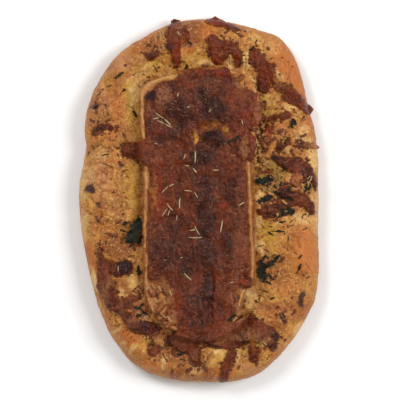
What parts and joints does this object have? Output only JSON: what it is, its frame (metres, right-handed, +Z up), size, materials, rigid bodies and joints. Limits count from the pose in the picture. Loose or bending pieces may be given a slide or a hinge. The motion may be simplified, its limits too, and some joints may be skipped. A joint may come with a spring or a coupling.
{
  "type": "brie focaccia",
  "caption": "Oval focaccia with a slab of brie baked into its top, under a blanket of browned grated cheese with herb leaves and rosemary needles.",
  "frame": {"origin": "middle of the bread's flat underside, on the surface that it rests on", "axes": "+Z up, +Y along the bread towards its squarer end, +X across it to the right"},
  "size_m": [0.1394, 0.2137, 0.0319],
  "materials": {
    "crust": "golden brown oiled crust, rough, with darker toasted spots",
    "brie_rind": "baked brie, pale orange and satin",
    "browned_cheese": "dark browned melted cheese, lumpy, with small oily glints",
    "herb_leaf": "baked herb leaf, nearly black green, dull"
  },
  "bodies": {
    "root": {"focaccia_bread": "crust", "brie_slab": "brie_rind", "cheese_blanket": "browned_cheese", "cheese_top_left": "browned_cheese", "cheese_top_rim": "browned_cheese", "cheese_top_patch": "browned_cheese", "cheese_right_streak": "browned_cheese", "cheese_crumb_upper": "browned_cheese", "cheese_crumb_lower": "browned_cheese", "cheese_knot": "browned_cheese", "cheese_short_shred": "browned_cheese", "cheese_thin_shred": "browned_cheese", "cheese_tongue": "browned_cheese", "cheese_right_cluster": "browned_cheese", "cheese_wall_clump": "browned_cheese", "cheese_left_dab": "browned_cheese", "cheese_left_curl": "browned_cheese", "cheese_bottom_shred": "browned_cheese", "cheese_bottom_crumb": "browned_cheese", "cheese_corner_crumb": "browned_cheese", "leaf_left": "herb_leaf", "leaf_left_small": "herb_leaf", "leaf_right_upper": "herb_leaf", "leaf_right_middle": "herb_leaf", "leaf_right_lower": "herb_leaf", "leaf_right_bottom": "herb_leaf", "leaf_right_fork": "herb_leaf", "leaf_right_dark": "herb_leaf", "leaf_cluster": "herb_leaf"}
  },
  "joints": []
}
